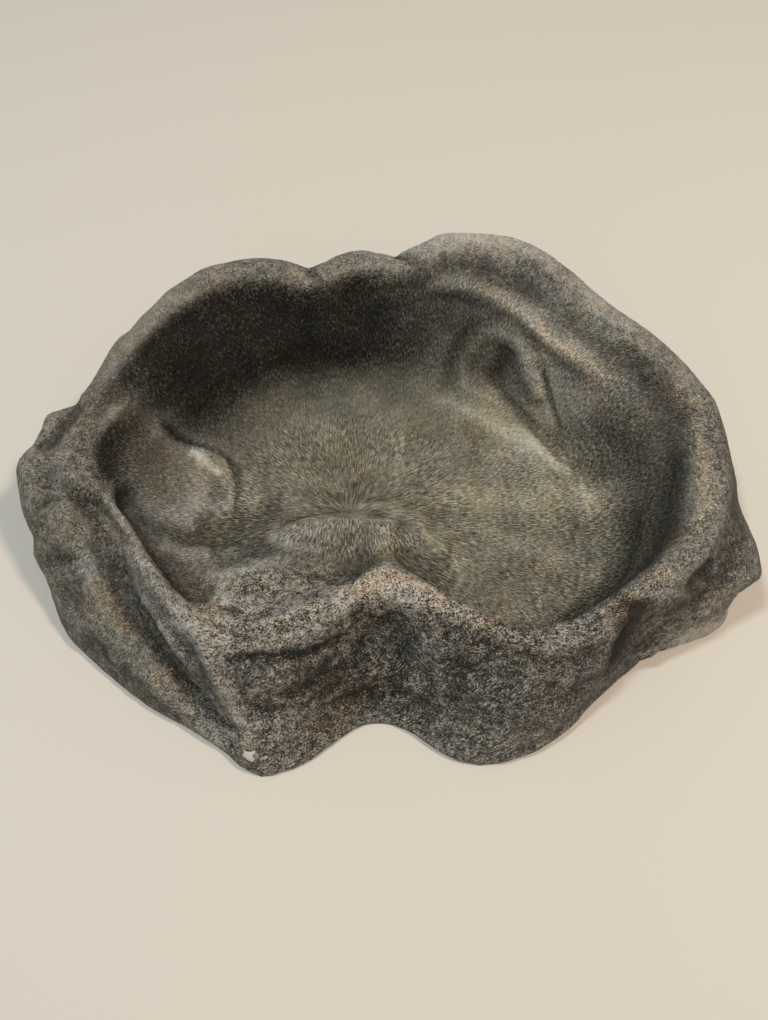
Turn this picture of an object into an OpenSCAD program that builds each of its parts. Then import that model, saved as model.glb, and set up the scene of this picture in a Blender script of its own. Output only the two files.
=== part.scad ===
// Free-form stone-look dish: one cast resin body under one pigmented stone-look coat.
//
// The shape is a set of upright sections that stand around the middle of the basin like the
// pages of an open book. Each section runs from the middle of the floor, up the inside wall,
// over the rim and down the outside to the foot. A smooth curve joins the named points of a
// section, another joins neighbouring sections, and ridges and hollows are laid over the result.

/* [Size] */
// Overall width, left to right
dish_w = 270; // [180:1:360]
// Overall depth, front to back
dish_d = 207; // [140:1:280]
// Overall height of the highest point of the rim
dish_h = 56; // [40:1:80]

/* [Basin] */
// Height of the floor at the middle of the basin
floor_z = 11; // [7:0.5:14]
// Rise of the ledge at the left end of the floor
ledge_rise = 5; // [0:0.5:7]
// Rise of the low spur that runs into the floor from the front notch
spur_rise = 6; // [0:0.5:8]
// Depth of the two folds in the right-hand wall
fold_depth = 4; // [0:0.5:6]

/* [Outside] */
// Depth of the long groove under the front-left rim
groove_depth = 9; // [0:0.5:11]
// Depth of the fold beside the right-hand knob
knob_fold = 5; // [0:0.5:8]

/* [Layers] */
// Thickness of the stone-look coat
coat = 1.2; // [0.8:0.1:1.6]
// Height at which the coat stops above the surface that the dish stands on
coat_gap = 0.5; // [0.3:0.1:1]

/* [Mesh] */
// Number of sections drawn around the basin
rays = 96; // [72:12:96]

/* [Hidden] */

// Middle of the basin, where all the sections meet.
basin_centre = [5, 2];

// One row for each section, in degrees and millimetres, anticlockwise from the right-hand end:
// [direction, toe r, toe z, bench r, bench z, crest r, crest z, rim half-width,
//  belly r, belly z, foot r]
// The toe is where the floor turns up, the bench is a change of slope half-way up the inside
// wall, the crest is the top of the rim and the belly is half-way down the outside.
SECTIONS = [
    [  0, 77, 15,  98, 35, 113, 49, 8, 127, 26, 123],
    [ 11, 75, 15,  94, 39, 113, 50, 7, 124, 26, 120],
    [ 24, 64, 15,  83, 43, 105, 52, 7, 113, 26, 110],
    [ 33, 60, 15,  79, 45, 100, 53, 6, 107, 26, 104],
    [ 42, 57, 15,  76, 46,  98, 54, 6, 105, 26, 102],
    [ 50, 55, 15,  76, 47,  99, 55, 6, 106, 26, 103],
    [ 57, 53, 15,  76, 47, 102, 55, 6, 108, 26, 105],
    [ 64, 52, 15,  77, 47, 101, 56, 6, 107, 26, 104],
    [ 70, 51, 15,  79, 47,  99, 56, 6, 104, 26, 101],
    [ 81, 50, 15,  80, 46,  94, 55, 6, 101, 26,  99],
    [ 91, 50, 15,  70, 35,  88, 50, 7,  95, 26,  95],
    [102, 51, 15,  70, 33,  91, 50, 7,  97, 26,  97],
    [113, 54, 15,  72, 33,  90, 49, 7,  97, 26,  97],
    [124, 60, 15,  80, 33, 103, 51, 8, 110, 26, 108],
    [136, 66, 16,  86, 33, 112, 51, 8, 119, 26, 118],
    [150, 72, 17,  92, 33, 114, 50, 9, 123, 26, 121],
    [163, 80, 19,  96, 33, 114, 49, 9, 124, 26, 122],
    [171, 84, 20, 100, 33, 118, 47, 9, 135, 37, 128],
    [179, 86, 20, 104, 33, 125, 45, 9, 144, 34, 139],
    [186, 86, 20, 103, 31, 117, 43, 7, 143, 28, 142],
    [194, 80, 20,  96, 31, 106, 42, 6, 133, 24, 143],
    [203, 66, 20,  89, 30,  99, 41, 6, 124, 21, 139],
    [212, 56, 20,  84, 30,  95, 41, 6, 116, 20, 130],
    [221, 50, 19,  80, 31,  92, 41, 6, 111, 20, 123],
    [229, 45, 19,  74, 32,  88, 41, 6, 105, 20, 117],
    [236, 37, 18,  60, 33,  78, 42, 6, 100, 20, 116],
    [243, 32, 18,  50, 33,  70, 43, 6,  94, 20, 117],
    [250, 27, 17,  38, 31,  55, 44, 6,  80, 18, 107],
    [257, 24, 16,  34, 30,  48, 45, 6,  66, 18,  92],
    [264, 24, 15,  33, 29,  48, 46, 6,  63, 20,  86],
    [272, 27, 14,  35, 27,  50, 46, 6,  66, 20,  90],
    [281, 33, 13,  41, 25,  54, 45, 6,  80, 22, 101],
    [290, 46, 12,  54, 22,  63, 44, 6,  91, 22, 105],
    [300, 60, 12,  66, 22,  76, 44, 6,  98, 22, 106],
    [311, 70, 12,  76, 22,  85, 44, 6, 100, 22, 104],
    [322, 76, 12,  83, 23,  91, 45, 6, 102, 22, 108],
    [331, 80, 12,  88, 24,  98, 46, 7, 112, 24, 114],
    [338, 82, 13,  92, 26, 105, 47, 8, 124, 28, 129],
    [345, 82, 13,  94, 28, 109, 48, 8, 133, 29, 124],
    [353, 80, 14,  96, 31, 111, 49, 8, 127, 27, 123]
];

// Ridges (+) and hollows (-): [points of the line, reach to each side, height].
STROKES = [
    // low spur in front of the notch, and the valley between it and the rim
    [[[-38, -17], [-24, -11], [-11, -9], [2, -12], [16, -18]], 8, spur_rise],
    [[[-30, -21], [-15, -23], [2, -24], [16, -25]], 5, -0.5 * spur_rise],
    // step between the ledge and the lobe beside the notch
    [[[-66, -13], [-52, -17], [-38, -22]], 6, -0.7 * ledge_rise],
    // crease along the inside of the front-left rim
    [[[-106, -7], [-95, -22], [-80, -36], [-61, -54]], 5, -3],
    // folds in the right-hand wall
    [[[47, 50], [59, 38], [70, 28], [79, 12]], 5, -fold_depth],
    [[[62, 54], [66, 45], [69, 36], [71, 28]], 5, -fold_depth],
    // long groove under the front-left rim
    [[[-110, -13], [-100, -28], [-94, -40], [-85, -54], [-75, -65], [-67, -78], [-58, -87]],
        6, -groove_depth],
    // fold beside the right-hand knob, and the one next to it
    [[[97, -59], [102, -52], [111, -46], [117, -40]], 5.5, -knob_fold],
    [[[85, -66], [88, -61], [90, -55]], 5.5, -knob_fold]
];

// Raised patches: [centre, half-length, half-width, turn, height, softness of the edge]
PATCHES = [
    // ledge at the left end of the floor
    [[-87, 4], 27, 22, 0, ledge_rise, 0.22],
    // lobe beside the notch
    [[-42, -38], 24, 13, 15, 4, 0.35]
];

// Steps drawn between neighbouring named points of a section, floor first.
STEPS = [8, 5, 4, 2, 3, 5, 4];
CREST_ROW = STEPS[0] + STEPS[1] + STEPS[2] + STEPS[3];
LAST_ROW = CREST_ROW + STEPS[4] + STEPS[5] + STEPS[6];

// Place of the chip in the coat, low on the front-left corner: row and ray of the missing patch.
chip_row = LAST_ROW - 2;
chip_ray = round(241 / 360 * rays);

function total(v, i = 0) = i < len(v) ? v[i] + total(v, i + 1) : 0;
function soft(t) = let (c = min(max(t, 0), 1)) c * c * (3 - 2 * c);

// Smooth curve through four [place, value] pairs, read at x between the two middle ones.
function smooth(p, x) =
    let (
        h = p[2][0] - p[1][0],
        t = (x - p[1][0]) / h,
        a = (p[2][1] - p[0][1]) / (p[2][0] - p[0][0]) * h,
        b = (p[3][1] - p[1][1]) / (p[3][0] - p[1][0]) * h
    )
    (2 * t * t * t - 3 * t * t + 1) * p[1][1] + (t * t * t - 2 * t * t + t) * a
    + (3 * t * t - 2 * t * t * t) * p[2][1] + (t * t * t - t * t) * b;

// Section values in any direction.
function row_before(a, i = 0) =
    i + 1 < len(SECTIONS) && SECTIONS[i + 1][0] <= a ? row_before(a, i + 1) : i;
function values(row) = [for (k = [1:10]) row[k]];
function section_at(a) =
    let (i = row_before(a), n = len(SECTIONS))
    smooth([
        for (k = [i - 1:i + 2])
        [SECTIONS[(k + n) % n][0] + 360 * floor(k / n), values(SECTIONS[(k + n) % n])]
    ], a);

// Named points of one section as [r, z]. The first and last only steer the curve.
function named_points(s) = [
    [-s[0] / 2, floor_z + 0.4],
    [0, floor_z],
    [s[0], s[1]],
    [s[2], s[3]],
    [s[4] - s[6], s[5] - 0.4 * s[6]],
    [s[4], s[5]],
    [s[4] + 0.8 * s[6], s[5] - 0.45 * s[6]],
    [s[7], s[8]],
    [s[9], 0],
    [s[9] - 3, -8]
];
function spaced(p, i = 0, at = 0) =
    i == len(p) - 1 ? [[at, p[i]]]
    : concat([[at, p[i]]], spaced(p, i + 1, at + sqrt(norm(p[i + 1] - p[i]))));
function section_curve(s) =
    let (k = spaced(named_points(s)))
    [
        for (g = [0:len(STEPS) - 1])
        for (q = [0:STEPS[g] - (g == len(STEPS) - 1 ? 0 : 1)])
        smooth([k[g], k[g + 1], k[g + 2], k[g + 3]],
            k[g + 1][0] + (k[g + 2][0] - k[g + 1][0]) * q / STEPS[g])
    ];

// Height that the ridges, hollows and raised patches add at a point.
function to_piece(p, a, b) =
    let (t = min(max((p - a) * (b - a) / ((b - a) * (b - a)), 0), 1))
    norm(p - a - t * (b - a));
function to_line(p, line) = min([for (i = [0:len(line) - 2]) to_piece(p, line[i], line[i + 1])]);
function stroke_rise(p, s) = s[2] * exp(-pow(to_line(p, s[0]) / s[1], 2));
function patch_rise(p, c) =
    let (
        d = p - c[0],
        u = (d[0] * cos(c[3]) + d[1] * sin(c[3])) / c[1],
        v = (d[1] * cos(c[3]) - d[0] * sin(c[3])) / c[2]
    )
    c[4] * soft((1 + c[5] - norm([u, v])) / (2 * c[5]));
function rise(p) =
    total([for (s = STROKES) stroke_rise(p, s)]) + total([for (c = PATCHES) patch_rise(p, c)]);

// Share of the rise that is kept: all of it inside the rim, and less and less down to the foot.
function kept(row) =
    row < CREST_ROW ? 1 : 1 - pow((row - CREST_ROW) / (LAST_ROW - CREST_ROW), 2);

// Whole outer skin as a grid, row by row from the floor to the foot, ray by ray.
CURVES = [for (j = [0:rays - 1]) section_curve(section_at(360 * j / rays))];
RAW = [
    for (i = [0:LAST_ROW])
    [
        for (j = [0:rays - 1])
        let (
            a = 360 * j / rays,
            c = CURVES[j][i],
            p = basin_centre + c[0] * [cos(a), sin(a)]
        )
        [p[0], p[1], i == LAST_ROW ? 0 : c[1] + kept(i) * rise(p)]
    ]
];

// The grid is fitted to the overall size, and its box is centred on the origin.
function low(k) = min([for (r = RAW) for (p = r) p[k]]);
function high(k) = max([for (r = RAW) for (p = r) p[k]]);
LOW = [low(0), low(1), 0];
HIGH = [high(0), high(1), high(2)];
FIT = [dish_w / (HIGH[0] - LOW[0]), dish_d / (HIGH[1] - LOW[1]), dish_h / HIGH[2]];
function fitted(p) = [
    (p[0] - (LOW[0] + HIGH[0]) / 2) * FIT[0],
    (p[1] - (LOW[1] + HIGH[1]) / 2) * FIT[1],
    max(p[2] * FIT[2], coat_gap)
];
SKIN = [for (r = RAW) [for (p = r) fitted(p)]];

// The same grid moved inwards by the thickness of the coat.
function outward(i, j) =
    let (
        up = SKIN[min(i + 1, LAST_ROW)][j] - SKIN[max(i - 1, 0)][j],
        side = SKIN[i][(j + 1) % rays] - SKIN[i][(j + rays - 1) % rays],
        n = cross(side, up)
    )
    i == 0 ? [0, 0, 1]
    : i == LAST_ROW ? -[n[0], n[1], 0] / norm([n[0], n[1]])
    : -n / norm(n);
UNDER = [
    for (i = [0:LAST_ROW])
    [for (j = [0:rays - 1]) SKIN[i][j] - coat * outward(i, j)]
];

// Triangles between two neighbouring rows of a grid whose first point has the number base.
function spot(base, i, j) = base + i * rays + j % rays;
function band(base, i, j) = [
    [spot(base, i, j), spot(base, i + 1, j + 1), spot(base, i, j + 1)],
    [spot(base, i, j), spot(base, i + 1, j), spot(base, i + 1, j + 1)]
];
function turned(faces) = [for (f = faces) [f[2], f[1], f[0]]];
function flat(grid) = [for (i = [1:LAST_ROW]) for (j = [0:rays - 1]) grid[i][j]];

// Body of the dish: pale, filled casting resin with a flat underside.
module cast_core() {
    tip = LAST_ROW * rays;
    ring = [for (p = UNDER[LAST_ROW]) [p[0] * 0.995, p[1] * 0.995, 0]];
    points = concat(flat(UNDER), [UNDER[0][0]], ring, [[0, 0, 0]]);
    base = tip + 1;
    hub = base + rays;
    faces = concat(
        [for (j = [0:rays - 1]) [tip, j, (j + 1) % rays]],
        [for (i = [0:LAST_ROW - 2]) for (j = [0:rays - 1]) for (f = band(0, i, j)) f],
        [
            for (j = [0:rays - 1])
            let (k = (j + 1) % rays, top = (LAST_ROW - 1) * rays)
            for (f = [[top + j, base + k, top + k], [top + j, base + j, base + k]]) f
        ],
        [for (j = [0:rays - 1]) [hub, base + (j + 1) % rays, base + j]]
    );
    color("#d9d4c8") polyhedron(points, turned(faces), convexity = 8);
}

// Stone-look coat over the whole body, with one chip that shows the pale casting.
module stone_coat() {
    grid = LAST_ROW * rays;
    points = concat(flat(SKIN), [SKIN[0][0]], flat(UNDER), [UNDER[0][0]]);
    inner = grid + 1;
    chip_top = chip_row - 1;
    chip = [
        spot(0, chip_top, chip_ray),
        spot(0, chip_top, chip_ray + 1),
        spot(0, chip_top + 1, chip_ray + 1),
        spot(0, chip_top + 1, chip_ray)
    ];
    cells = [
        for (i = [0:LAST_ROW - 2])
        for (j = [0:rays - 1])
        if (!(i == chip_top && j == chip_ray)) [i, j]
    ];
    faces = concat(
        [for (j = [0:rays - 1]) [grid, j, (j + 1) % rays]],
        [for (c = cells) for (f = band(0, c[0], c[1])) f],
        turned([for (j = [0:rays - 1]) [inner + grid, inner + j, inner + (j + 1) % rays]]),
        turned([for (c = cells) for (f = band(inner, c[0], c[1])) f]),
        [
            for (j = [0:rays - 1])
            let (a = spot(0, LAST_ROW - 1, j), b = spot(0, LAST_ROW - 1, j + 1))
            for (f = [[a, inner + b, b], [a, inner + a, inner + b]]) f
        ],
        [
            for (k = [0:3])
            let (a = chip[k], b = chip[(k + 1) % 4])
            for (f = [[a, inner + b, b], [a, inner + a, inner + b]]) f
        ]
    );
    color("#5d5850") polyhedron(points, turned(faces), convexity = 8);
}

cast_core();
stone_coat();
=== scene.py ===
import math

import bmesh
import bpy
import numpy as np
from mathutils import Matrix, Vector, noise


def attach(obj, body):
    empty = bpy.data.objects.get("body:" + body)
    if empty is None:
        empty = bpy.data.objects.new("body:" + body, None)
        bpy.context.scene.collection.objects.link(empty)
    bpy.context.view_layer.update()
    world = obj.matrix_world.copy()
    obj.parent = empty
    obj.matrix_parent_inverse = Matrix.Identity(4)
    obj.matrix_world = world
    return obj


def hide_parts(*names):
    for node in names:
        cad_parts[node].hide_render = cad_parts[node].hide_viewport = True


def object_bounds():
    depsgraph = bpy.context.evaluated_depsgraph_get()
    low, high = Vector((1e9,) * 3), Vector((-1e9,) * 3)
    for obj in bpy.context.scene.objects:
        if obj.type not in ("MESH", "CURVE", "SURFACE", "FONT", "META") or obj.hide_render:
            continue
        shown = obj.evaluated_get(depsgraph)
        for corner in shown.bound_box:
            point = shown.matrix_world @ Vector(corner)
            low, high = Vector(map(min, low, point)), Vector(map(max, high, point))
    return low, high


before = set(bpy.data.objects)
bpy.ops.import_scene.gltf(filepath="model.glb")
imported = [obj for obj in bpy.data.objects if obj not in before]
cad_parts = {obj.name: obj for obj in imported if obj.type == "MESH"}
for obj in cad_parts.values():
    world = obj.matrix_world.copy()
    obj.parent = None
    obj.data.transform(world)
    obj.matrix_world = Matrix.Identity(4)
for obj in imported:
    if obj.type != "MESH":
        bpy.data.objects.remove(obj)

CAD_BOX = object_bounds()
LOW, HIGH = (np.array(corner, float) for corner in CAD_BOX)

# Every place below is in millimetres on a plan of this size, seen from above, with its middle at
# (0, 0) and the foot at 0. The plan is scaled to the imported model's own box.
PLAN_SIZE = np.array([270.0, 207.0, 56.0])
SCALE = (HIGH - LOW) / PLAN_SIZE
ORIGIN = np.array([(LOW[0] + HIGH[0]) / 2, (LOW[1] + HIGH[1]) / 2, LOW[2]])

COAT = 0.0012                                # the CAD coat's thickness, in metres
VOXEL = 0.00163    # grain of the sculpted mesh, in metres
SHARPEN_MOST = 0.0025                        # furthest that sharpening moves a point, in metres
CASTING_BACK = 1.15                          # the visual casting lies so far under the coat's face
CHIP_RISE = 0.6                              # and this much nearer to it inside a chip
SHELL = 1.05                                 # the visual coat's thickness
FOOT_HEIGHT, FOOT_TUCK = 3.0, 1.3            # the lowest 3 mm curve in by up to 1.3 mm
WHORL = (-13.0, -8.0)                        # the floor's brush marks fan out from here
CAMERA_PLACE = (0.8, -135.3, 285)
CAMERA_TILT = 26                             # degrees away from looking straight down

# ---------------------------------------------------------------- the plan's features

# Paths that more than one table uses.
ARCH_OUTER = [(26, 48, 14), (27, 56, 20), (28, 62, 25), (34, 68, 35), (44, 68, 43), (53, 63, 46)]
FLAP = [(54, 62, 41), (57, 56, 37), (61, 49, 30), (66, 41, 22)]
FLAP_CREASE = [(52, 67, 42), (58, 61, 43), (63, 53, 38), (66, 46, 31), (70, 37, 21), (73, 31, 16)]
RUST_FOLD = [(85, -50, 46), (82, -56, 41), (81, -60, 34), (79, -64, 26), (78, -68, 18)]
RIGHT_RIM = [(106, 38, 49), (110, 30, 49), (115, 11, 48), (114, 0, 48), (112, -16, 49),
             (106, -30, 47)]

# The crest of the rim, all the way round.
CREST = [(-111, 2), (-111, 15), (-107, 32), (-99, 48), (-90, 63), (-80, 73), (-68, 82), (-53, 87),
         (-37, 86), (-27, 86), (-17, 90), (-3, 92), (7, 91), (18, 94), (30, 97), (48, 94), (61, 88),
         (70, 77), (79, 67), (89, 57), (101, 45), (115, 27), (120, 8), (117, -10), (111, -27),
         (101, -40),
         (91, -43), (80, -50), (69, -56), (57, -60), (51, -62), (42, -62), (32, -59), (22, -53),
         (13, -48), (4, -48), (-12, -51), (-24, -54), (-32, -58), (-44, -60), (-55, -59),
         (-66, -55), (-76, -47), (-84, -38), (-92, -28), (-100, -20), (-107, -10)]

# Ridges and hollows: path, height in mm (hollows are negative), width on the left of the path and
# on its right, as one walks along it.
FOLDS = [
    # the spur on the basin floor and the hollow in front of it
    ([(-47, -16, 16), (-38, -14, 19), (-31, -10, 19), (-19, -7, 19), (-7, -8, 19), (4, -11, 18),
      (12, -15, 16)], 0.7, 1.6, 2.2),
    ([(-44, -14, 17), (-34, -11, 19), (-22, -8, 19), (-8, -8, 19), (4, -11, 18), (14, -15, 15)],
     -1.0, 6.0, 5.0),
    ([(2, -13, 19), (11, -16, 18), (20, -20, 16), (30, -24, 13)], -2.4, 7.0, 6.0),
    ([(-44, -6, 15), (-32, -3, 15), (-18, -1, 15), (-4, -2, 15), (10, -5, 14), (22, -10, 12)],
     1.5, 13.0, 4.0),
    ([(-58, -14, 15), (-45, -18, 17), (-33, -21, 18), (-18, -22, 17), (-5, -22, 16),
      (8, -23, 15)], 2.6, 6.0, 5.0),
    # the swelling between the basin and the front notch
    ([(-64, -44, 36), (-50, -50, 37), (-36, -51, 37), (-22, -48, 37), (-8, -44, 38)], 3.6, 7, 7),
    ([(-48, -36, 28), (-34, -37, 28), (-18, -36, 28)], 1.2, 7, 7),
    ([(-62, -53, 37), (-50, -57, 38), (-36, -58, 39), (-24, -55, 39), (-14, -50, 42)],
     2.6, 5.0, 3.0),
    ([(-14, -33, 30), (-4, -31, 29), (8, -34, 29), (18, -38, 29)], -1.8, 6, 6),
    # the ledge at the left: its edge, and the foot of its drop
    ([(-90, 21, 38), (-82, 18, 30), (-74, 16, 25), (-66, 14, 22), (-62, 8, 21), (-61, 0, 20)],
     0.4, 1.6, 5.0),
    ([(-90, 25, 36), (-80, 22, 27), (-71, 20, 20), (-63, 17, 18), (-58, 9, 17), (-57, -3, 16),
      (-58, -12, 16)], -1.5, 3.5, 1.3),
    ([(-70, 18, 23), (-66, 12, 23), (-64, 2, 22), (-66, -8, 21), (-72, -15, 22)],
     -1.1, 4.0, 4.0),
    ([(-106, 12, 44), (-100, 1, 40), (-94, -6, 36), (-87, -13, 32), (-77, -18, 26), (-64, -18, 19),
      (-54, -17, 16)], -0.8, 4.0, 4.0),
    ([(-82, -22, 29), (-72, -24, 25), (-62, -24, 21)], 1.2, 6.0, 6.0),
    # the front-left rim: inner crease, rounded band, groove below it
    ([(-108, -8, 38), (-97, -19, 34), (-88, -28, 36), (-79, -36, 37), (-69, -46, 37),
      (-62, -52, 37), (-55, -57, 38)], -0.8, 3.4, 1.5),
    ([(-97, -12, 38), (-91, -19, 37), (-84, -29, 37), (-76, -38, 37), (-68, -46, 37),
      (-62, -52, 38)], 1.2, 1.6, 3.0),
    ([(-98, -4, 37), (-88, -13, 36), (-81, -23, 35), (-73, -33, 35), (-66, -41, 35),
      (-58, -49, 36)], -5.0, 6.0, 5.0),
    ([(-99, -24, 37), (-92, -35, 35), (-85, -45, 32), (-78, -54, 29), (-70, -63, 26),
      (-62, -72, 22)], 1.6, 4.0, 2.0),
    ([(-105, -20, 35), (-98, -33, 31), (-91, -46, 27), (-84, -56, 23), (-76, -65, 20),
      (-69, -72, 17), (-61, -79, 13), (-54, -87, 8)], -3.6, 2.2, 5.0),
    ([(-116, -10, 38), (-112, -20, 35), (-108, -30, 31)], 2.4, 5.0, 5.0),
    ([(-124, 12, 38), (-125, -2, 37), (-120, -18, 34), (-114, -30, 29)], 3.0, 9.0, 9.0),
    ([(-110, -42, 22), (-100, -54, 19), (-89, -64, 17), (-79, -74, 14), (-70, -81, 11),
      (-60, -88, 9), (-53, -92, 8)], 1.6, 4.5, 6.0),
    # left end: its outline, and the nick between its two knobs
    ([(-99, 58, 42), (-103, 50, 44), (-107, 42, 44), (-111, 33, 43), (-116, 27, 40)], 2.6, 6, 6),
    ([(-121, 26, 38), (-118, 22, 39), (-114, 19, 41)], -2.0, 3, 3),
    ([(-130, -18, 24), (-126, -34, 19), (-118, -48, 14), (-108, -58, 12)], 2.6, 9, 9),
    ([(-138, 22, 6), (-137, 19, 20), (-133, 14, 32), (-127, 11, 36), (-119, 10, 40)],
     -2.8, 3.2, 3.2),
    ([(-132, 32, 22), (-129, 27, 32), (-125, 23, 38), (-119, 20, 42)], 2.8, 5.5, 5.0),
    ([(-139, 6, 22), (-137, 5, 32), (-131, 2, 37)], 0.8, 5, 5),
    # the terrace ridge at the right rear, the hollow behind it and the rim's edge
    ([(14, 82, 44), (29, 81, 47), (39, 77, 48), (51, 69, 49), (58, 62, 47), (65, 55, 45),
      (73, 48, 45), (81, 41, 44), (88, 34, 42)], 2.0, 4.0, 2.6),
    ([(12, 90, 50), (22, 91, 52), (36, 89, 52), (48, 83, 51), (60, 75, 50), (70, 64, 49),
      (81, 52, 48), (89, 43, 47)], -1.8, 5.5, 5.0),
    ([(14, 97, 52), (28, 99, 55), (48, 97, 55), (60, 92, 55), (70, 81, 54), (80, 70, 53),
      (92, 58, 52), (104, 47, 51), (117, 30, 50)], 1.0, 3.0, 3.0),
    # the arched hollow in the right wall, the flap beside it and the hollow below the flap
    ([(50, 61, 38), (49, 58, 32), (47, 56, 26), (44, 54, 20), (42, 52, 15)], -1.4, 4.5, 5.0),
    ([(33, 48, 14), (34, 53, 19), (34, 60, 26), (39, 63, 34), (46, 63, 40), (53, 58, 41),
      (57, 51, 35), (60, 46, 26)], 0.6, 2.6, 2.4),
    (ARCH_OUTER, -0.6, 2.6, 2.6),
    (FLAP, 1.6, 3.2, 3.6),
    ([(42, 54, 26), (46, 50, 22), (52, 45, 18), (60, 38, 15), (68, 30, 13), (75, 22, 13)],
     -1.7, 2.4, 2.0),
    (FLAP_CREASE, -1.4, 1.3, 1.6),
    # the lip round the right end of the floor, with its fine second line
    ([(24, 52, 15), (35, 46, 13), (46, 38, 13), (56, 33, 13), (68, 25, 13), (78, 12, 13),
      (82, 0, 14), (81, -12, 14)], 0.4, 3.0, 4.5),
    ([(60, 25, 12), (67, 18, 12), (72, 11, 12)], -0.5, 1.2, 1.2),
    # right end, outside: rust fold, knob and the dark hollow beside it
    ([(84, -54, 43), (82, -58, 38), (80, -62, 31), (78, -67, 21), (77, -71, 11)], -3.6, 6.0, 2.8),
    ([(100, -58, 3), (109, -56, 4), (118, -51, 5), (126, -44, 6), (130, -38, 7)], 3.0, 6.5, 6.5),
    ([(74, -56, 44), (72, -63, 38), (71, -70, 26)], 1.4, 4, 4),
    ([(124, -26, 36), (129, -32, 33), (131, -37, 28)], 1.4, 5, 5),
    ([(114, -37, 41), (108, -43, 42), (103, -47, 38)], -1.6, 4, 4),
    # the prow and the folds of the wall beside it
    ([(-55, -60, 40), (-56, -68, 35), (-52, -79, 24), (-48, -90, 13), (-46, -101, 4)], 2.8, 4.5, 4),
    ([(-57, -65, 37), (-49, -67, 37), (-31, -67, 36), (-19, -64, 34), (-8, -59, 32)],
     -1.7, 2.2, 3.0),
    ([(-46, -74, 33), (-36, -73, 33), (-26, -69, 33), (-16, -68, 29)], 0.8, 2.2, 2.2),
    ([(-36, -78, 27), (-27, -77, 24), (-17, -71, 23), (-8, -68, 19)], -1.0, 2.4, 2.4),
    ([(-48, -85, 20), (-39, -82, 21), (-31, -81, 17)], -0.9, 2.0, 2.0),
    ([(-44, -89, 14), (-36, -83, 15), (-24, -79, 16), (-12, -72, 14)], 1.0, 2.4, 2.4),
    ([(-56, -85, 10), (-46, -86, 11), (-38, -81, 11), (-29, -79, 10), (-14, -75, 9), (-1, -72, 8)],
     -1.6, 2.2, 2.6),
    # the lobe beside the notch
    ([(8, -64, 32), (10, -68, 22), (11, -73, 10)], 1.8, 6, 6),
    ([(24, -66, 36), (24, -76, 24), (26, -84, 12)], -1.2, 6, 6),
    # nicks in the far rim
    ([(-24, 80, 44), (-28, 86, 50), (-31, 92, 44), (-33, 96, 34), (-33, 98, 18)], -1.6, 2.8, 2.8),
    ([(-22, 92, 48), (-16, 95, 48), (-10, 96, 48), (-2, 97, 48)], 0.5, 4, 4),
    ([(-1, 100, 16), (1, 99, 34), (4, 97, 46), (8, 93, 51), (14, 89, 51), (20, 86, 49)],
     -1.8, 2.3, 2.3),
    ([(-63, 84, 50), (-66, 90, 44), (-67, 93, 32), (-67, 94, 16)], -0.9, 2.6, 2.6),
]

# Steps in an upright wall: path, height in mm, steepness and reach. What is above the path is
# raised, and what is below it is lowered.
LIPS = [
    ([(90, -62, 6), (95, -58, 10), (100, -54, 14), (106, -48, 20), (115, -41, 24), (122, -36, 27),
      (130, -34, 28), (136, -34, 28)], 4.2, 1.0, 7.0),
]

# Paths where the mesh is made finer before it is sculpted: path and reach.
FINE = [
    ([(42, 66, 36), (52, 67, 42), (58, 61, 43), (63, 53, 38), (66, 46, 31), (70, 37, 21),
      (75, 27, 14)], 5.0),
    ([(44, 52, 24), (50, 46, 18), (59, 38, 15), (68, 30, 13), (76, 20, 12)], 4.0),
    ([(-108, -8, 38), (-97, -19, 34), (-88, -28, 36), (-79, -36, 37), (-69, -46, 37),
      (-55, -57, 38)], 4.0),
    ([(-80, 22, 27), (-71, 20, 20), (-63, 17, 18), (-58, 9, 17), (-57, -3, 16)], 4.0),
    ([(88, -50, 45), (82, -57, 42), (78, -64, 33), (77, -70, 22)], 4.5),
    ([(1, 99, 34), (4, 97, 46), (8, 93, 51), (14, 89, 51), (20, 86, 49)], 4.0),
]


def plan(co):
    """Points of the frame, in metres, as millimetres on the plan."""
    return (co - ORIGIN) / SCALE


def spot(x, y, z):
    """A place on the plan as a point in the frame, in metres."""
    return ORIGIN + np.array([x, y, z]) * SCALE


def ease(value, start, end):
    """From 0 at the start to 1 at the end, with no corners."""
    t = np.clip((value - start) / (end - start), 0, 1)
    return t * t * (3 - 2 * t)


# ---------------------------------------------------------------- mesh helpers

def numbers(collection, name, width, kind=np.float64):
    """One property of all of a mesh's vertices or edges, a row each."""
    out = np.empty(len(collection) * width, kind)
    collection.foreach_get(name, out)
    return out.reshape(-1, width) if width > 1 else out


def put_points(mesh, co):
    mesh.vertices.foreach_set("co", co.astype(np.float32).ravel())
    mesh.update()


def spread(values, ends, rounds, share=0.5):
    """Values at the vertices, evened out along the edges."""
    count = len(values)
    a, b = ends[:, 0], ends[:, 1]
    links = np.bincount(a, minlength=count) + np.bincount(b, minlength=count)
    links = np.maximum(links, 1)[:, None]
    v = values.reshape(count, -1).astype(np.float64)
    for _ in range(rounds):
        total = [np.bincount(a, v[b, k], count) + np.bincount(b, v[a, k], count)
                 for k in range(v.shape[1])]
        v = v + share * (np.stack(total, 1) / links - v)
    return v.reshape(values.shape)


def settle(obj):
    """Applies the object's modifiers."""
    graph = bpy.context.evaluated_depsgraph_get()
    mesh = bpy.data.meshes.new_from_object(obj.evaluated_get(graph))
    obj.modifiers.clear()
    obj.data = mesh
    return mesh


def new_object(name, mesh):
    obj = bpy.data.objects.new(name, mesh)
    bpy.context.scene.collection.objects.link(obj)
    return obj


# ---------------------------------------------------------------- paths on the plan

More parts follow.
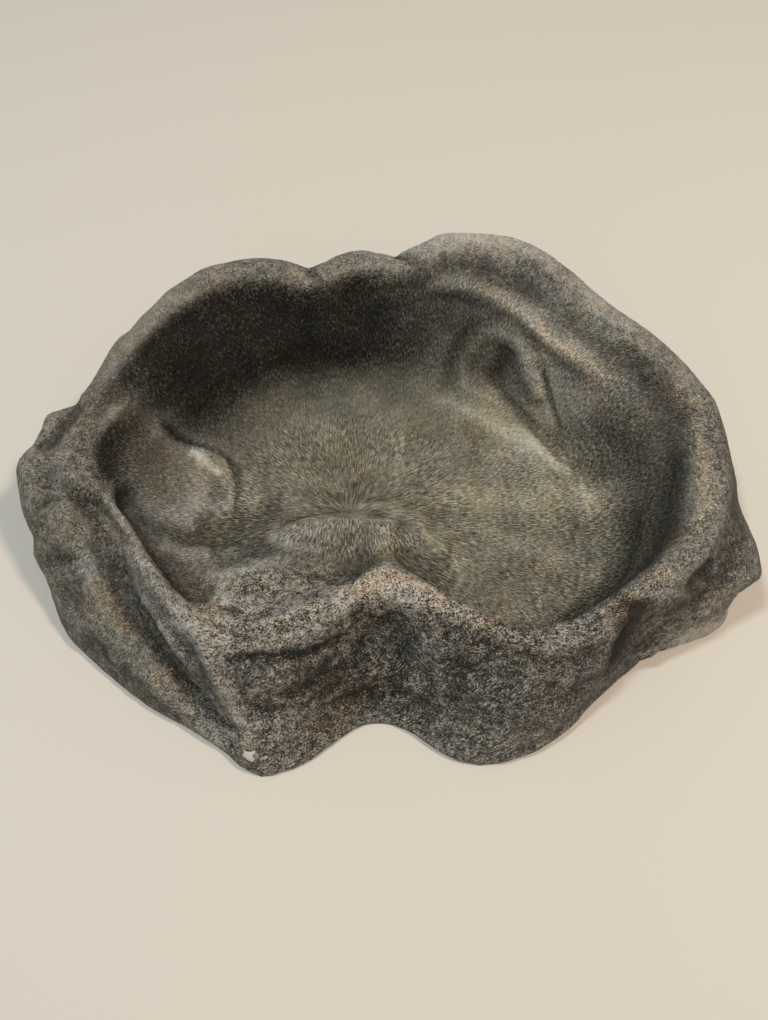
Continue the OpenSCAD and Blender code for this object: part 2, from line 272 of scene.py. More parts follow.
def curve(path, parts=4):
    """The path as a smooth line through its points."""
    p = np.array(path, float)
    p = np.vstack([2 * p[0] - p[1], p, 2 * p[-1] - p[-2]])
    out = []
    for k in range(1, len(p) - 2):
        for t in np.arange(parts) / parts:
            out.append(0.5 * (2 * p[k] + (p[k + 1] - p[k - 1]) * t
                              + (2 * p[k - 1] - 5 * p[k] + 4 * p[k + 1] - p[k + 2]) * t ** 2
                              + (3 * p[k] - p[k - 1] - 3 * p[k + 1] + p[k + 2]) * t ** 3))
    out.append(p[-2])
    return np.array(out)


def beside(points, path):
    """Distance from the path, place along it (0 to 1), side (+1 is left) and height above it."""
    path = curve(path)
    steps = np.diff(path, axis=0)
    lengths = np.linalg.norm(steps, axis=1)
    begins = np.concatenate([[0], np.cumsum(lengths)])
    far = np.full(len(points), 1e9)
    along, side, above = np.zeros((3, len(points)))
    for k, step in enumerate(steps):
        rel = points - path[k]
        t = np.clip(rel @ step / lengths[k] ** 2, 0, 1)
        gap = rel - t[:, None] * step
        d = np.linalg.norm(gap, axis=1)
        won = d < far
        far[won] = d[won]
        along[won] = (begins[k] + t[won] * lengths[k]) / begins[-1]
        side[won] = np.sign(step[0] * rel[won, 1] - step[1] * rel[won, 0])
        above[won] = gap[won, 2]
    return far, along, side, above


def ends_off(along, share=0.16):
    """Fades out towards both ends of a path."""
    return ease(along, 0, share) * ease(1 - along, 0, share)


def fold(points, path, height, left, right):
    """Height of one row of FOLDS at each point."""
    far, along, side, _ = beside(points, path)
    width = np.where(side > 0, left, right)
    return height * ends_off(along) * np.exp(-(far / width) ** 2)


def lip(points, path, height, steep, reach):
    """Height of one row of LIPS at each point."""
    far, along, _, above = beside(points, path)
    return height * ends_off(along) * np.tanh(above / steep) * np.exp(-(far / reach) ** 2)


def stain(points, path, width):
    """How much of a painted stroke each point gets."""
    far, along, _, _ = beside(points, path)
    return ends_off(along, 0.1) * np.exp(-(far / width) ** 2)


def blob(points, x, y, z, rx, ry, rz):
    """1 at the middle of a soft spot, fading to 0."""
    d = (points - [x, y, z]) / [rx, ry, rz]
    return np.exp(-(d ** 2).sum(1))


def inside_crest(points):
    """How far each point is inside the crest line on the plan; negative outside."""
    loop = curve([(x, y, 0) for x, y in CREST + CREST[:1]], 2)[:, :2]
    p = points[:, :2]
    far = np.full(len(p), 1e9)
    odd = np.zeros(len(p), bool)
    for a, b in zip(loop[:-1], loop[1:]):
        step = b - a
        rel = p - a
        t = np.clip(rel @ step / max(step @ step, 1e-9), 0, 1)
        far = np.minimum(far, np.linalg.norm(rel - t[:, None] * step, axis=1))
        crosses = (a[1] > p[:, 1]) != (b[1] > p[:, 1])
        with np.errstate(divide="ignore", invalid="ignore"):
            x = a[0] + (p[:, 1] - a[1]) / (b[1] - a[1]) * step[0]
        odd ^= crosses & (p[:, 0] < x)
    return np.where(odd, far, -far)


def bumps(points, size, seed, octaves=2):
    """Smooth noise, about -1 to 1, with lumps of the given size in mm."""
    shift = Vector((seed * 17.3, seed * -9.1, seed * 5.7))
    return np.array([noise.fractal(Vector(p) / size + shift, 0.9, 2.1, octaves) for p in points])


# ---------------------------------------------------------------- the dish's form

def smooth_solid():
    """Closed solid of the dish: the casting of the frame, rounded, and grown by the coat."""
    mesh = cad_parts["cast_core"].data.copy()
    bm = bmesh.new()
    bm.from_mesh(mesh)
    bmesh.ops.remove_doubles(bm, verts=bm.verts, dist=1e-6)
    bmesh.ops.join_triangles(bm, faces=bm.faces, angle_face_threshold=math.pi,
                             angle_shape_threshold=math.pi)
    crease = bm.edges.layers.float.new("crease_edge")
    for edge in bm.edges:
        if all(v.co.z < LOW[2] + 1e-5 for v in edge.verts):
            edge[crease] = 1.0
    bm.to_mesh(mesh)
    bm.free()
    mesh.materials.clear()
    obj = new_object("solid", mesh)
    obj.modifiers.new("rounding", "SUBSURF").levels = 2
    mesh = settle(obj)
    co = numbers(mesh.vertices, "co", 3)
    n = numbers(mesh.vertices, "normal", 3)
    n[:, 2] *= np.clip((co[:, 2] - LOW[2]) / (2 * COAT), 0, 1)
    put_points(mesh, co + n * COAT)
    remesh = obj.modifiers.new("remesh", "REMESH")
    remesh.mode = "VOXEL"
    remesh.voxel_size = VOXEL
    settle(obj)
    return obj


def refine(obj):
    """Smaller faces along the creases."""
    p = plan(numbers(obj.data.vertices, "co", 3))
    close = np.zeros(len(p), bool)
    for path, reach in FINE:
        close |= beside(p, path)[0] < reach
    bm = bmesh.new()
    bm.from_mesh(obj.data)
    bm.verts.ensure_lookup_table()
    edges = [e for e in bm.edges if close[e.verts[0].index] and close[e.verts[1].index]]
    bmesh.ops.subdivide_edges(bm, edges=edges, cuts=1, use_grid_fill=True, smooth=0.3)
    bm.to_mesh(obj.data)
    bm.free()
    return obj


def sharpen(obj, rounds=36, amount=0.85):
    """Gives back the edges that the rounding took away."""
    mesh = obj.data
    co = numbers(mesh.vertices, "co", 3)
    ends = numbers(mesh.edges, "vertices", 2, np.int32)
    more = amount * (co - spread(co, ends, rounds))
    size = np.linalg.norm(more, axis=1)[:, None]
    more *= np.minimum(1, SHARPEN_MOST / np.maximum(size, 1e-9))
    more = spread(more, ends, 3)
    more *= ease(co[:, 2] - LOW[2], 0.0006, 0.006)[:, None]
    put_points(mesh, co + more)
    return obj


def sculpt(obj):
    """Presses the folds, lips and bumps into the surface."""
    mesh = obj.data
    co = numbers(mesh.vertices, "co", 3)
    n = numbers(mesh.vertices, "normal", 3)
    ends = numbers(mesh.edges, "vertices", 2, np.int32)
    n = spread(n, ends, 3)
    n /= np.linalg.norm(n, axis=1)[:, None]
    p = plan(co)
    lift = np.zeros(len(p))
    for path, height, left, right in FOLDS:
        lift += fold(p, path, height, left, right)
    for path, height, steep, reach in LIPS:
        lift += lip(p, path, height, steep, reach)
    inner = ease(inside_crest(p), -2, 8) * ease(n[:, 2], -0.3, 0.2)
    mound = np.clip(blob(p, -26, -42, 32, 34, 15, 22) * 1.4, 0, 1)
    rough = np.clip(1 - inner + mound, 0, 1)
    lift += bumps(p, 26, 1) * (0.5 + 0.4 * rough)
    front = 0.2 + 0.8 * ease(p[:, 1], 10, -35)
    lift += bumps(p, 8, 2, 3) * (0.08 + 0.55 * rough * front + 0.6 * mound)
    lift *= ease(p[:, 2], 0.4, 5) * ease(n[:, 2], -0.75, -0.4)
    co = co + n * lift[:, None] * SCALE
    foot = np.clip(1 - p[:, 2] / FOOT_HEIGHT, 0, 1) * ease(n[:, 2], -0.95, -0.5)
    flat = n * [1, 1, 0]
    co = co - flat * (foot ** 2 * FOOT_TUCK)[:, None] * SCALE
    low = ease(p[:, 2], 7, 2)[:, None]
    co[:, :2] += low * (spread(co, ends, 4) - co)[:, :2]
    co[:, 2] = np.maximum(co[:, 2], LOW[2])
    put_points(mesh, co)
    return obj


solid = sculpt(refine(sharpen(smooth_solid())))

# ---------------------------------------------------------------- casting and coat

# The chipped spots: middle, and half of the width and of the height.
CHIP = [((-46.0, -96.5, 9.4), 2.7, 1.7), ((-40.8, -97.5, 8.4), 1.6, 0.6)]
CHIP_DEPTH = 6                    # how far in front of and behind its middle a chip reaches
RAGGED, RAGGED_SIZE = 0.55, 1.7   # how uneven a chip's outline is, and the size of its teeth
CHIP_FINE, CHIP_NEAR = 0.012, 0.014   # metres from the first chip: finer faces, and faces to test


def in_chip(points):
    """Above 0 inside the chipped spots near the front-left foot."""
    best = np.full(len(points), -9.0)
    for (x, y, z), wide, tall in CHIP:
        d = points - [x, y, z]
        across, depth = d[:, 0], d[:, 1]
        ragged = np.array([noise.noise(Vector(q) / RAGGED_SIZE) for q in d]) * RAGGED
        here = 1 + ragged - np.hypot(across / wide, d[:, 2] / tall)
        best = np.maximum(best, np.where(abs(depth) < CHIP_DEPTH, here, -9))
    return best


def make_casting(obj):
    """The pale casting, just under the coat and nearer to it in the chips."""
    mesh = obj.data.copy()
    co = numbers(mesh.vertices, "co", 3)
    n = numbers(mesh.vertices, "normal", 3)
    ends = numbers(mesh.edges, "vertices", 2, np.int32)
    n = spread(n, ends, 2)
    p = plan(co)
    n[:, 2] *= np.clip(p[:, 2] / 2.4, 0, 1)
    back = CASTING_BACK - CHIP_RISE * ease(in_chip(p), -0.8, 0)
    co = co - n * back[:, None] * SCALE
    co[:, 2] = np.maximum(co[:, 2], LOW[2])
    put_points(mesh, co)
    return new_object("dish_casting", mesh)


def make_coat(obj):
    """The coat's outer face: open underneath and in the chips."""
    mesh = obj.data.copy()
    bm = bmesh.new()
    bm.from_mesh(mesh)
    under = [f for f in bm.faces if f.normal.z < -0.8 and f.calc_center_median().z < LOW[2] + 4e-4]
    bmesh.ops.delete(bm, geom=under, context="FACES")
    centre = Vector(spot(*CHIP[0][0]))
    near = [f for f in bm.faces if (f.calc_center_median() - centre).length < CHIP_FINE]
    edges = list({e for f in near for e in f.edges})
    bmesh.ops.subdivide_edges(bm, edges=edges, cuts=2, use_grid_fill=True)
    near = [f for f in bm.faces if (f.calc_center_median() - centre).length < CHIP_NEAR]
    middles = plan(np.array([f.calc_center_median() for f in near]))
    gone = [f for f, inside in zip(near, in_chip(middles)) if inside > 0]
    bmesh.ops.delete(bm, geom=gone, context="FACES")
    # no islands of coat inside the chips
    first = max(bm.faces, key=lambda f: (f.calc_center_median() - centre).length)
    kept, edge = {first}, [first]
    while edge:
        edge = {g for f in edge for e in f.edges for g in e.link_faces} - kept
        kept |= edge
    bmesh.ops.delete(bm, geom=[f for f in bm.faces if f not in kept], context="FACES")
    loose = [v for v in bm.verts if not v.link_faces]
    bmesh.ops.delete(bm, geom=loose, context="VERTS")
    bm.to_mesh(mesh)
    bm.free()
    return new_object("dish_coat", mesh)


casting = make_casting(solid)
coat = make_coat(solid)

# ---------------------------------------------------------------- paint

# Painted strokes of three tints: path, width and strength.
RUST = [
    ([(-104, -38, 28), (-96, -47, 26), (-88, -56, 22)], 3.0, 0.5),
    ([(-82, -60, 21), (-76, -66, 20), (-70, -73, 16)], 3.2, 0.7),
    ([(-88, -26, 30), (-80, -36, 31), (-72, -44, 33), (-63, -51, 34), (-54, -55, 35),
      (-46, -56, 36)], 3.4, 1.0),
    ([(-92, 30, 32), (-86, 38, 26), (-78, 42, 18), (-66, 44, 15)], 9.0, 0.55),
    ([(-34, -86, 9), (-22, -82, 8), (-8, -74, 8), (4, -71, 8), (14, -76, 6)], 4.5, 0.6),
    (RUST_FOLD, 6.5, 1.0),
    ([(-24, -73, 17), (-14, -71, 18), (-3, -68, 17)], 3.4, 0.8),
    ([(-47, -80, 24), (-40, -79, 22), (-30, -77, 20)], 4.0, 0.4),
    ([(-102, 22, 40), (-96, 12, 38), (-90, 4, 34)], 8.0, 0.35),
    ([(100, -50, 38), (110, -45, 34), (120, -42, 28)], 5.0, 0.25),
    ([(-90, 12, 32), (-83, 3, 29), (-77, -8, 26)], 8.0, 0.3),
    ([(92, 38, 36), (101, 24, 34), (104, 6, 34), (102, -12, 34), (92, -28, 34)], 10.0, 0.16),
]
COOL = [
    ([(-106, -28, 33), (-96, -38, 30), (-88, -48, 27), (-80, -58, 24), (-71, -68, 21),
      (-62, -77, 16)], 3.5, 0.9),
    ([(-42, 50, 18), (-20, 50, 15), (5, 52, 15), (28, 54, 18)], 8.0, 0.6),
    ([(130, 20, 30), (131, 0, 28), (128, -18, 30)], 12.0, 0.45),
    ([(38, -63, 43), (50, -64, 43), (62, -61, 42), (74, -55, 43)], 5.0, 0.6),
    ([(20, 90, 50), (48, 84, 52), (70, 64, 51), (91, 42, 48)], 8.0, 0.4),
    ([(-62, -30, 24), (-52, -24, 20), (-40, -26, 20)], 7.0, 0.5),
    ([(22, -62, 38), (34, -72, 30), (46, -76, 22)], 9.0, 0.4),
    # bluish grey of the painted highlight on the floor's lip
    ([(24, 48, 14), (36, 43, 13), (48, 36, 13), (60, 28, 13), (70, 21, 13)], 4.5, 0.8),
]
BEIGE = [
    # the terrace ridge: chalky beige and a painted warm highlight
    ([(34, 80, 49), (45, 74, 49), (54, 66, 48), (62, 58, 47), (72, 49, 46), (84, 38, 44)],
     2.6, 1.0),
    # the lobe's crest: worn beige and a painted warm highlight
    ([(-18, -49, 43), (-6, -46, 46), (6, -44, 47), (14, -47, 46), (24, -53, 45)], 4.0, 1.0),
    (RIGHT_RIM, 3.0, 0.9),
    ([(18, -52, 45), (28, -57, 45), (38, -60, 44)], 3.5, 0.5),
    ([(-46, -60, 40), (-32, -59, 40), (-20, -55, 42)], 3.0, 0.5),
    ([(98, -40, 46), (88, -46, 45), (78, -52, 44)], 3.5, 0.5),
]
# Lighter and darker strokes, many of them painted highlights, painted shade and painted shadow, the
# rest the paint's own: path, width and how much.
SHADES = [
    # painted highlight on the ledge's rounded edge
    ([(-75, 18, 27), (-72, 16, 25), (-69, 13, 23), (-66, 11, 22), (-63, 8, 21)], 1.7, 0.50),
    # painted highlight on the lip round the floor's right end
    ([(18, 50, 14), (30, 46, 14), (41, 40, 13), (52, 33, 13), (63, 26, 13), (72, 19, 13),
      (79, 11, 13), (82, 2, 13), (82, -8, 13)], 4.0, 0.17),
    # painted shade in the crease below the flap
    ([(42, 54, 26), (46, 50, 22), (52, 45, 18), (60, 38, 15), (68, 30, 13), (76, 22, 13),
      (83, 11, 14)], 1.8, -0.20),
    # painted highlight along the terrace ridge
    ([(14, 83, 44), (29, 81, 47), (39, 77, 48), (51, 69, 49), (58, 62, 47), (65, 55, 45),
      (76, 45, 44)], 2.6, 0.15),
    ([(-99, -24, 37), (-92, -35, 35), (-85, -45, 32), (-78, -54, 29), (-70, -63, 26)], 4.0, 0.20),
    # painted shade inside the left end
    ([(-98, 40, 34), (-104, 24, 38), (-104, 10, 40), (-98, -2, 38), (-90, -12, 34)], 7.0, -0.20),
    # painted shadow at the foot of the ledge's drop
    ([(-90, 25, 36), (-80, 22, 27), (-71, 20, 20), (-63, 17, 18), (-58, 9, 17), (-57, -3, 16)],
     2.6, -0.30),
    ([(-104, -22, 35), (-98, -34, 31), (-91, -46, 27), (-84, -56, 23), (-76, -65, 20),
      (-69, -72, 17), (-61, -79, 13), (-54, -87, 8)], 2.6, -0.03),
    # a lighter flap, and painted shade in the crease beside it
    (FLAP, 2.4, 0.17),
    (FLAP_CREASE, 1.3, -0.24),
    # painted shade along the front of the spur, painted shadow under the crest by the notch,
    # painted shade in the notch wall's lowest fold
    ([(-62, -14, 16), (-50, -18, 17), (-40, -21, 18), (-28, -23, 18)], 2.4, -0.08),
    ([(-60, -63, 37), (-50, -66, 37), (-32, -67, 36), (-20, -64, 35), (-12, -60, 34)], 2.8, -0.28),
    ([(-58, -84, 10), (-46, -86, 11), (-29, -79, 10), (-14, -75, 9), (2, -71, 8)], 2.6, -0.22),
    (RUST_FOLD, 5.4, -0.72),
    # a darker and a lighter ring round the arched hollow: painted shade and painted light
    (ARCH_OUTER, 2.2, -0.05),
    ([(33, 48, 14), (34, 53, 19), (34, 60, 26), (39, 63, 34), (46, 63, 40), (53, 58, 41),
      (57, 51, 35)], 2.2, 0.04),
    # darker slope under the right rim: partly its paint, partly painted shade
    ([(86, 53, 48), (94, 42, 48), (100, 33, 47), (105, 23, 44), (108, 12, 43), (107, 0, 39)],
     5.0, -0.14),
    (RIGHT_RIM, 3.0, 0.10),
    # painted shade along the ledge's left side
    ([(-106, 16, 42), (-99, 5, 41), (-95, -4, 34), (-90, -12, 29), (-82, -17, 26), (-74, -19, 23)],
     4.0, -0.12),
    # painted shadow under the step in the right end's wall
    ([(95, -58, 10), (100, -54, 14), (106, -48, 20), (115, -41, 24), (124, -36, 27)], 2.2, -0.20),
    # painted shade down the side of the arched hollow
    ([(42, 64, 34), (44, 58, 28), (47, 52, 23), (54, 44, 17), (66, 33, 13)], 4.0, -0.10),
]
# Lighter and darker places, partly the paint's own tone and partly painted light and painted shade:
# x, y, z, radii, and how much.
TONES = [
    (78, 40, 30, 24, 24, 20, 0.18),          # slope below the terrace
    (58, 54, 32, 24, 20, 18, 0.36),          # wall round the arched hollow
    (66, 74, 50, 34, 22, 8, 0.14),           # hollow behind the terrace
    (40, 97, 55, 36, 10, 8, 0.34),           # crest at the right rear
    (92, 62, 52, 22, 22, 8, 0.08),           # crest behind the right rim
    (30, 60, 34, 16, 14, 14, 0.08),          # far wall's right end
    (-34, -44, 32, 32, 16, 14, 0.19),        # swelling by the notch
    (-2, -46, 46, 20, 7, 8, 0.20),           # crest over the notch
    (40, -60, 44, 30, 6, 6, -0.05),          # crest of the lobe
    (-24, -72, 24, 26, 10, 16, -0.29),       # notch wall
    (20, 20, 12, 70, 34, 8, 0.04),           # floor
    (56, 6, 12, 30, 30, 8, 0.11),            # floor, right
    (-88, -4, 28, 28, 24, 14, 0.08),         # ledge
    (74, 42, 30, 16, 18, 16, 0.46),          # slope beside the flap
    (108, -36, 46, 14, 14, 10, -0.12),       # rim by the knob
    (128, -26, 36, 10, 14, 12, -0.15),       # knob
    (118, -50, 8, 18, 12, 10, 0.32),         # lower lobe of the right end
    (-62, -60, 36, 16, 14, 12, 0.14),        # corner of the front-left rim
    (-52, -84, 18, 10, 14, 16, 0.26),        # prow
    (130, 8, 40, 8, 32, 16, -0.16),          # outer face of the right rim
    (124, -4, 46, 5, 26, 8, -0.12),          # outer edge of the right rim
    # painted shade in the heart of the arched hollow
    (48, 57, 29, 6, 5, 9, -0.12),            # heart of the arched hollow
    (120, 0, 44, 14, 40, 10, -0.04),         # right rim
    (112, -50, 10, 20, 12, 10, 0.30),        # right foot
    (-30, 88, 50, 70, 9, 8, -0.07),          # far rim
    (108, 46, 46, 24, 30, 10, -0.10),        # outer edge at the right rear
    (40, -62, 42, 34, 9, 12, -0.14),         # crest and front edge of the lobe
    (2, -60, 30, 12, 10, 16, 0.12),          # beside the notch's corner
    (82, -60, 31, 6, 8, 15, -0.22),          # rust fold
    (44, -74, 22, 34, 12, 18, -0.29),        # lobe wall
    # inner side and front part of the left end darker: partly dark paint, partly painted shade
    (-102, 28, 43, 8, 12, 9, -0.20),         # inner side of the left end
    (-106, 8, 43, 5, 20, 8, -0.14),          # its front part
    (-98, -27, 34, 9, 14, 10, 0.12),         # head of the groove
    (-118, -6, 36, 16, 28, 12, -0.10),       # left end
]
# A fleck of blue-green paint in the crease of the front-left rim: its middle and its radii.
FLECK = (-77.0, -38.0, 35.0, 1.2, 1.2, 5)


def paint(obj):
    """Writes the attributes that the paint reads, one value at each vertex."""
    mesh = obj.data
    co = numbers(mesh.vertices, "co", 3)
    n = numbers(mesh.vertices, "normal", 3)
    ends = numbers(mesh.edges, "vertices", 2, np.int32)
    p = plan(co)
    soft = spread(n, ends, 6)
    soft /= np.linalg.norm(soft, axis=1)[:, None]
    near = ((co - spread(co, ends, 12)) * n).sum(1) / SCALE[2]
    wide = ((co - spread(co, ends, 90)) * n).sum(1) / SCALE[2]
    deep = inside_crest(p)
    inner = ease(deep, -1, 5) * ease(soft[:, 2], -0.2, 0.3)
    mound = np.clip(blob(p, -26, -44, 34, 32, 13, 20) * 1.5, 0, 1)
    crest = np.exp(-(deep / 6.0) ** 2) * ease(soft[:, 2], 0.3, 0.9)

    # lighter where the surface faces up: partly the dry-brushed paint, partly painted light from
    # above
    tone = 0.39 + 0.22 * ease(soft[:, 2], 0.1, 0.95)
    # lighter on rounded edges and darker in creases and hollows, less so round the spur: partly the
    # dry-brushed paint, partly painted highlight and painted shade
    calm = 1 - 0.5 * blob(p, -12, -14, 17, 34, 14, 30)
    tone += calm * (0.09 * np.clip(near / 0.25, -1, 1) + 0.06 * np.clip(wide / 1.6, -1, 1))
    # a little lighter on the rim's crest: partly worn paint, partly painted highlight
    tone += 0.03 * crest
    for path, width, amount in SHADES:
        tone += amount * stain(p, path, width)
    for x, y, z, rx, ry, rz, amount in TONES:
        tone += amount * blob(p, x, y, z, rx, ry, rz)
    # partly dark paint and partly painted shade, on the far wall and round the left end
    left_end = 0.55 * ease(p[:, 0], -66, -92) * ease(p[:, 1], -16, 10) * ease(deep, 30, 10)
    far = np.maximum(ease(p[:, 1], 16, 44) * ease(p[:, 2], 13, 27), left_end)
    far *= ease(deep, 2.5, 9) * (0.3 + 0.7 * ease(p[:, 0], 26, -12))
    far *= 1 - ease(soft[:, 2], 0.78, 0.95) * ease(p[:, 0], -50, -66) * ease(p[:, 1], 34, 20)
    far = np.clip(far * (1 + 0.25 * bumps(p, 14, 6)), 0, 1)
    tone += 0.92 * far * (0.01 - tone)
    rust, cool, beige = np.zeros((3, len(p)))
    for layer, rows in ((rust, RUST), (cool, COOL), (beige, BEIGE)):
        for path, width, amount in rows:
            np.maximum(layer, amount * stain(p, path, width), out=layer)
    # beige on the crests: partly chalky paint, partly painted highlight
    beige = np.maximum(beige, 0.15 * crest * (1 - cool))
    rocky = np.clip(mound + 0.8 * blob(p, 10, -52, 46, 44, 12, 16) + 0.4 * crest, 0, 1)
    floor = ease(p[:, 2], 24, 15) * inner * (1 - mound)
    fibre = ease(deep, 3, 14) * ease(soft[:, 2], -0.2, 0.3) * (1 - mound)
    fibre *= 1 - 0.8 * blob(p, 20, -60, 40, 60, 14, 20)
    front = blob(p, -12, -17, 17, 34, 9, 30)
    middle = ease(p[:, 0], -66, -50) * ease(p[:, 0], 84, 60)
    bold = 0.60 + 0.36 * ease(p[:, 1], 60, 0) + 0.30 * ease(p[:, 1], -25, -48) * middle
    bold += 0.5 * far - 0.30 * ease(p[:, 0], -62, -92) - 0.20 * ease(p[:, 0], 88, 108)
    fleck = blob(p, *FLECK)
    # the rounded edges' mask lightens them as worn paint and painted highlight; the hollows' mask
    # (pit) darkens them as painted shade and roughens them
    values = {"front": front, "bold": bold, "fleck": fleck, "tone": tone, "rust": rust,
              "cool": cool, "beige": beige, "floor": floor, "fibre": fibre, "dim": far,
              "rocky": rocky, "wear_and_highlight": np.clip(near / 0.3, 0, 1),
              "pit": np.clip(-near / 0.3, 0, 1)}
    for name, value in values.items():
        layer = mesh.attributes.new(name, "FLOAT", "POINT")
        layer.data.foreach_set("value", value.astype(np.float32))


paint(coat)
shell = coat.modifiers.new("thickness", "SOLIDIFY")
shell.thickness = SHELL * SCALE[2]
shell.offset = -1
settle(coat)
at = numbers(coat.data.vertices, "co", 3)
at[:, 2] = np.maximum(at[:, 2], LOW[2])
put_points(coat.data, at)

# ---------------------------------------------------------------- materials


class Nodes:
    def __init__(self, name):
        self.material = bpy.data.materials.new(name)
        self.material.use_nodes = True
        self.tree = self.material.node_tree
        self.shader = self.tree.nodes["Principled BSDF"]

    def put(self, socket, value):
        if isinstance(value, bpy.types.NodeSocket):
            self.tree.links.new(value, socket)
        else:
            socket.default_value = value

    def node(self, kind, inputs, **settings):
        made = self.tree.nodes.new("ShaderNode" + kind)
        for name, value in settings.items():
            setattr(made, name, value)
        for key, value in inputs.items():
            self.put(made.inputs[key], value)
        return made

    def math(self, operation, *values):
        return self.node("Math", dict(enumerate(values)), operation=operation).outputs[0]

    def add(self, *values):
        total = values[0]
        for value in values[1:]:
            total = self.math("ADD", total, value)
        return total

    def times(self, a, b):
        return self.math("MULTIPLY", a, b)

    def attribute(self, name):
        return self.node("Attribute", {}, attribute_name=name).outputs["Fac"]

    def noise(self, vector, scale, detail=2.0, rough=0.5, distortion=0.0):
        made = self.node("TexNoise", {"Vector": vector, "Scale": scale, "Detail": detail,
                                      "Roughness": rough, "Distortion": distortion})
        return made.outputs["Fac"]

    def remap(self, value, low, high, to_low=0.0, to_high=1.0, kind="SMOOTHSTEP"):
        made = self.node("MapRange", {"Value": value, "From Min": low, "From Max": high,
                                      "To Min": to_low, "To Max": to_high},
                         interpolation_type=kind, clamp=True)
        return made.outputs["Result"]

    def mix(self, share, a, b, blend="MIX"):
        made = self.node("Mix", {}, data_type="RGBA", blend_type=blend)
        self.put(made.inputs[0], share)
        self.put(made.inputs[6], a)
        self.put(made.inputs[7], b)
        return made.outputs[2]

    def ramp(self, value, stops):
        made = self.node("ValToRGB", {0: value})
        keys = made.color_ramp.elements
        while len(keys) < len(stops):
            keys.new(0.5)
        for key, (place, colour) in zip(keys, stops):
            key.position = place
            key.color = (*colour, 1)
        return made.outputs[0]


def millimetres(g):
    """The plan's coordinates, in mm, at the shaded point."""
    here = g.node("TexCoord", {}).outputs["Object"]
    moved = g.node("VectorMath", {0: here, 1: tuple(-ORIGIN)}, operation="ADD").outputs[0]
    return g.node("VectorMath", {0: moved, 1: tuple(1 / SCALE)}, operation="MULTIPLY").outputs[0]


def fibres(g, place):
    """Brush marks that fan out from the whorl: short strokes, as wide at any distance from it."""
    parts = g.node("SeparateXYZ", {0: place})
    x = g.math("SUBTRACT", parts.outputs[0], WHORL[0])
    y = g.math("SUBTRACT", parts.outputs[1], WHORL[1])
    out = g.math("SQRT", g.add(g.times(x, x), g.times(y, y)))
    lifted = g.add(out, g.times(parts.outputs[2], 0.9))
    turn = g.math("ARCTAN2", x, g.times(y, -1.0))
    near = g.remap(out, 12, 26, 1, 0)
    far = g.remap(out, 42, 64)
    layers = []
    for reach, wide, long in ((14, 0.42, 5.0), (34, 0.38, 3.0), (76, 0.38, 2.2)):
        u = g.times(turn, reach / wide)
        v = g.math("DIVIDE", lifted, long)
        where = g.node("CombineXYZ", {0: u, 1: v, 2: reach}).outputs[0]
        layers.append(g.noise(where, 1.0, 2.0, 0.6, 0.35))
    mid = g.math("SUBTRACT", g.math("SUBTRACT", 1.0, near), far)
    fan = g.add(g.times(near, layers[0]), g.times(mid, layers[1]), g.times(far, layers[2]))
    # in front of the spur's ridge they run down its slope instead
    y = g.math("SUBTRACT", parts.outputs[1], WHORL[1] + 34)
    turn = g.math("ARCTAN2", x, g.times(y, -1.0))
    out = g.math("SQRT", g.add(g.times(x, x), g.times(y, y)))
    where = g.node("CombineXYZ", {0: g.times(turn, 42 / 0.5), 1: g.math("DIVIDE", out, 2.4),
                                  2: 5.0})
    down = g.noise(where.outputs[0], 1.0, 2.0, 0.6, 0.5)
    front = g.remap(g.attribute("front"), 0.35, 0.6)
    return g.add(g.times(front, down), g.times(g.math("SUBTRACT", 1.0, front), fan))


def strands(g, place):
    """Short hair-like marks that lie one way for a centimetre or so and then another."""
    drift = g.node("TexNoise", {"Vector": place, "Scale": 0.055, "Detail": 1.0})
    layers = []
    for k, turn in enumerate(((0.1, 0.25, 0.15), (0.5, 0.9, 1.15), (-0.6, 0.4, -0.75))):
        turned = g.node("Mapping", {"Vector": place, "Rotation": turn, "Location": (9 * k, 0, 0)})
        long = g.node("VectorMath", {0: turned.outputs[0], 1: (0.46, 2.6, 2.6)},
                      operation="MULTIPLY").outputs[0]
        layers.append(g.noise(long, 1.0, 3.0, 0.7, 0.5))
    parts = g.node("SeparateColor", {0: drift.outputs["Color"]})
    first = g.remap(parts.outputs[0], 0.46, 0.54)
    second = g.remap(parts.outputs[1], 0.46, 0.54)
    both = g.add(g.times(first, layers[0]), g.times(g.math("SUBTRACT", 1.0, first), layers[1]))
    return g.add(g.times(second, both), g.times(g.math("SUBTRACT", 1.0, second), layers[2]))


# Colours that the stone's own is multiplied by, and the fleck's.
WARM_TINT, FLOOR_TINT = (1.07, 0.99, 0.88, 1), (1.04, 1.01, 0.86, 1)
COOL_TINT, RUST_TINT = (0.86, 0.95, 1.03, 1), (1.00, 0.70, 0.42, 1)
CHALK_AND_HIGHLIGHT_TINT = (1.45, 1.22, 0.96, 1)
FLECK_PAINT = (0.09, 0.27, 0.26, 1)
# The stone's colour from dark to light. Only 0.7 of the ramp is for the plain stone, so that the
# brightest speckle isn't cut off.
RAMP_SHARE = 0.7
STONE_RAMP = [(0.0, (0.011, 0.0105, 0.0085)), (0.175, (0.036, 0.034, 0.027)),
              (0.35, (0.102, 0.096, 0.077)), (0.525, (0.238, 0.226, 0.187)),
              (0.7, (0.45, 0.425, 0.365)), (1.0, (0.74, 0.70, 0.62))]


